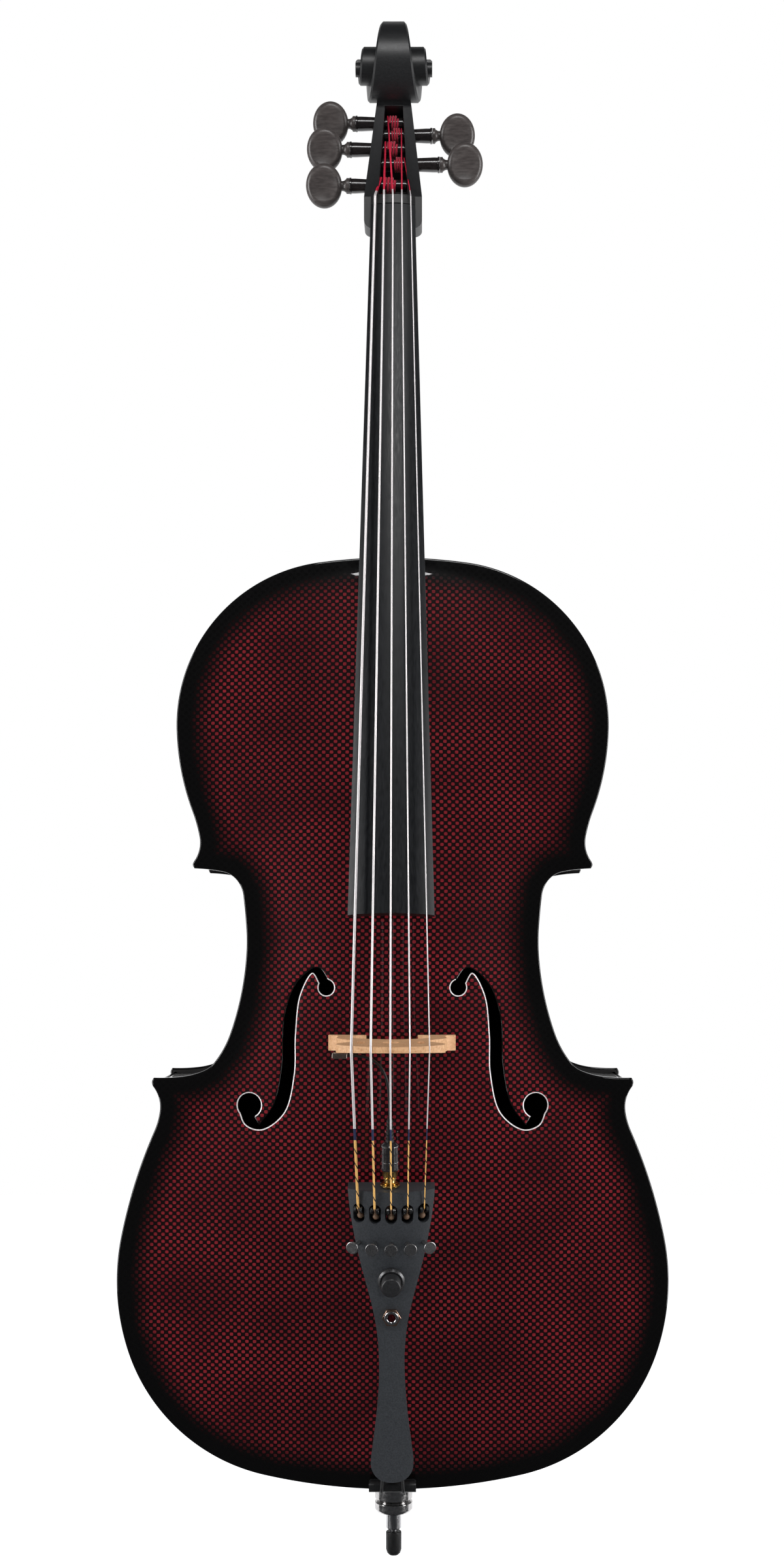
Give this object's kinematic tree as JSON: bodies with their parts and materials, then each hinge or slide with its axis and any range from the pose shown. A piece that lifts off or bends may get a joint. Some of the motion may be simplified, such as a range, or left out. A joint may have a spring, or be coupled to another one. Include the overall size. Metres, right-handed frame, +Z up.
{
  "type": "electric cello",
  "caption": "Full-size acoustic-electric cello of woven composite: arched body with sound holes, geared pegs, fine-tuner tailpiece with volume control and output jack, sliding endpin.",
  "frame": {"origin": "back of the neck on its centreline, just below the cheeks of the pegbox, where a neck yoke holds the cello", "axes": "+Z up along the neck, -Y out of the front (the strings), +X towards the thin strings (the viewer's right when looking at the front)"},
  "size_m": [0.4472, 0.2519, 1.2906],
  "materials": {
    "weave": "gloss clear coat over a red and black plain weave",
    "gloss_black": "gloss black lacquer",
    "satin_black": "satin black composite",
    "board": "satin, played smooth",
    "spruce": "plain, unfinished",
    "maple": "fine sanded, unvarnished",
    "grey_composite": "satin dark grey",
    "peg_plastic": "polished black",
    "nickel": "polished nickel plate",
    "black_steel": "blackened, satin",
    "steel": "fine brushed",
    "string_steel": "flat-wound steel",
    "red_silk": "wrapped silk",
    "gold": "gold plate",
    "rose_gold": "copper-toned plate",
    "black_rubber": "moulded",
    "cord": "smooth jacket",
    "aramid": "braided cord"
  },
  "bodies": {
    "body": {"top_plate": "weave", "back_plate": "weave", "ribs": "weave", "neck_block": "satin_black", "end_block": "satin_black", "bass_bar": "spruce", "sound_post": "spruce", "fingerboard": "board", "nut": "satin_black", "neck": "satin_black", "peg_sleeves": "peg_plastic", "bridge": "maple", "saddle": "satin_black", "tailpiece": "grey_composite", "volume_pot": "black_steel", "output_jack": "steel", "jack_nut": "rose_gold", "input_socket": "gold", "lead_plug": "gold", "lead_boot": "black_rubber", "pickup_lead": "cord", "pickup": "nickel", "tuner_pins": "steel", "tail_cord": "aramid", "endpin_plug": "nickel", "string_c": "string_steel", "string_g": "string_steel", "string_d": "string_steel", "string_a": "string_steel", "string_e": "string_steel"},
    "peg_c": {"peg_head_c": "peg_plastic"},
    "post_c": {"peg_post_c": "peg_plastic", "winding_c": "red_silk"},
    "peg_g": {"peg_head_g": "peg_plastic"},
    "post_g": {"peg_post_g": "peg_plastic", "winding_g": "red_silk"},
    "peg_d": {"peg_head_d": "peg_plastic"},
    "post_d": {"peg_post_d": "peg_plastic", "winding_d": "red_silk"},
    "peg_a": {"peg_head_a": "peg_plastic"},
    "post_a": {"peg_post_a": "peg_plastic", "winding_a": "red_silk"},
    "peg_e": {"peg_head_e": "peg_plastic"},
    "post_e": {"peg_post_e": "peg_plastic", "winding_e": "red_silk"},
    "screw_c": {"tuner_screw_c": "nickel"},
    "lever_c": {"tuner_lever_c": "black_steel"},
    "screw_g": {"tuner_screw_g": "nickel"},
    "lever_g": {"tuner_lever_g": "black_steel"},
    "screw_d": {"tuner_screw_d": "nickel"},
    "lever_d": {"tuner_lever_d": "black_steel"},
    "screw_a": {"tuner_screw_a": "nickel"},
    "lever_a": {"tuner_lever_a": "black_steel"},
    "screw_e": {"tuner_screw_e": "nickel"},
    "lever_e": {"tuner_lever_e": "black_steel"},
    "volume": {"volume_knob": "gloss_black"},
    "collet": {"endpin_lock_ring": "nickel"},
    "endpin": {"endpin_rod": "steel", "rubber_tip": "black_rubber"}
  },
  "joints": [
    {"name": "peg_turn_c", "type": "hinge", "parent": "body", "child": "peg_c", "pos_m": [-0.0096, 0.00194, 0.04529], "axis": [1, 0, 0], "continuous": true},
    {"name": "post_turn_c", "type": "hinge", "parent": "body", "child": "post_c", "pos_m": [-0.0096, 0.00194, 0.04529], "axis": [1, 0, 0], "continuous": true},
    {"name": "peg_turn_g", "type": "hinge", "parent": "body", "child": "peg_g", "pos_m": [-0.007, 0.02073, 0.0833], "axis": [1, 0, 0], "continuous": true},
    {"name": "post_turn_g", "type": "hinge", "parent": "body", "child": "post_g", "pos_m": [-0.007, 0.02073, 0.0833], "axis": [1, 0, 0], "continuous": true},
    {"name": "peg_turn_d", "type": "hinge", "parent": "body", "child": "peg_d", "pos_m": [-0.0054, 0.03446, 0.11109], "axis": [1, 0, 0], "continuous": true},
    {"name": "post_turn_d", "type": "hinge", "parent": "body", "child": "post_d", "pos_m": [-0.0054, 0.03446, 0.11109], "axis": [1, 0, 0], "continuous": true},
    {"name": "peg_turn_a", "type": "hinge", "parent": "body", "child": "peg_a", "pos_m": [0.0064, 0.02804, 0.09809], "axis": [1, 0, 0], "continuous": true},
    {"name": "post_turn_a", "type": "hinge", "parent": "body", "child": "post_a", "pos_m": [0.0064, 0.02804, 0.09809], "axis": [1, 0, 0], "continuous": true},
    {"name": "peg_turn_e", "type": "hinge", "parent": "body", "child": "peg_e", "pos_m": [0.0084, 0.01284, 0.06734], "axis": [1, 0, 0], "continuous": true},
    {"name": "post_turn_e", "type": "hinge", "parent": "body", "child": "post_e", "pos_m": [0.0084, 0.01284, 0.06734], "axis": [1, 0, 0], "continuous": true},
    {"name": "screw_turn_c", "type": "hinge", "parent": "body", "child": "screw_c", "pos_m": [-0.0252, -0.10134, -0.81665], "axis": [-0.3549, -0.9149, -0.1922], "range_deg": [-1080, 0]},
    {"name": "lever_tilt_c", "type": "hinge", "parent": "body", "child": "lever_c", "pos_m": [-0.02201, -0.09773, -0.7929], "axis": [0.9349, -0.3473, -0.073], "range_deg": [-4, 0]},
    {"name": "screw_turn_g", "type": "hinge", "parent": "body", "child": "screw_g", "pos_m": [-0.0126, -0.10476, -0.81737], "axis": [-0.1775, -0.9631, -0.2023], "range_deg": [-1080, 0]},
    {"name": "lever_tilt_g", "type": "hinge", "parent": "body", "child": "lever_g", "pos_m": [-0.011, -0.10072, -0.79353], "axis": [0.9841, -0.1737, -0.0365], "range_deg": [-4, 0]},
    {"name": "screw_turn_d", "type": "hinge", "parent": "body", "child": "screw_d", "pos_m": [0, -0.10587, -0.8176], "axis": [0, -0.9786, -0.2056], "range_deg": [-1080, 0]},
    {"name": "lever_tilt_d", "type": "hinge", "parent": "body", "child": "lever_d", "pos_m": [0, -0.10168, -0.79373], "axis": [1, 0, 0], "range_deg": [-4, 0]},
    {"name": "screw_turn_a", "type": "hinge", "parent": "body", "child": "screw_a", "pos_m": [0.0126, -0.10476, -0.81737], "axis": [0.1775, -0.9631, -0.2023], "range_deg": [-1080, 0]},
    {"name": "lever_tilt_a", "type": "hinge", "parent": "body", "child": "lever_a", "pos_m": [0.011, -0.10072, -0.79353], "axis": [0.9841, 0.1737, 0.0365], "range_deg": [-4, 0]},
    {"name": "screw_turn_e", "type": "hinge", "parent": "body", "child": "screw_e", "pos_m": [0.0252, -0.10134, -0.81665], "axis": [0.3549, -0.9149, -0.1922], "range_deg": [-1080, 0]},
    {"name": "lever_tilt_e", "type": "hinge", "parent": "body", "child": "lever_e", "pos_m": [0.02201, -0.09773, -0.7929], "axis": [0.9349, 0.3473, 0.073], "range_deg": [-4, 0]},
    {"name": "volume_turn", "type": "hinge", "parent": "body", "child": "volume", "pos_m": [0, -0.09976, -0.84667], "axis": [0, -0.9786, -0.2056], "range_deg": [-150, 150]},
    {"name": "collet_turn", "type": "hinge", "parent": "body", "child": "collet", "pos_m": [0, 0.0175, -1.0569], "axis": [0, 0, 1], "range_deg": [-180, 0]},
    {"name": "endpin_slide", "type": "slide", "parent": "body", "child": "endpin", "axis": [0, 0, -1], "range_m": [0, 0.42]}
  ],
  "couplings": [
    {"joint": "post_turn_c", "follows": "peg_turn_c", "ratio": 0.25},
    {"joint": "post_turn_g", "follows": "peg_turn_g", "ratio": 0.25},
    {"joint": "post_turn_d", "follows": "peg_turn_d", "ratio": 0.25},
    {"joint": "post_turn_a", "follows": "peg_turn_a", "ratio": 0.25},
    {"joint": "post_turn_e", "follows": "peg_turn_e", "ratio": 0.25},
    {"joint": "lever_tilt_c", "follows": "screw_turn_c", "ratio": 0.0037},
    {"joint": "lever_tilt_g", "follows": "screw_turn_g", "ratio": 0.0037},
    {"joint": "lever_tilt_d", "follows": "screw_turn_d", "ratio": 0.0037},
    {"joint": "lever_tilt_a", "follows": "screw_turn_a", "ratio": 0.0037},
    {"joint": "lever_tilt_e", "follows": "screw_turn_e", "ratio": 0.0037}
  ]
}
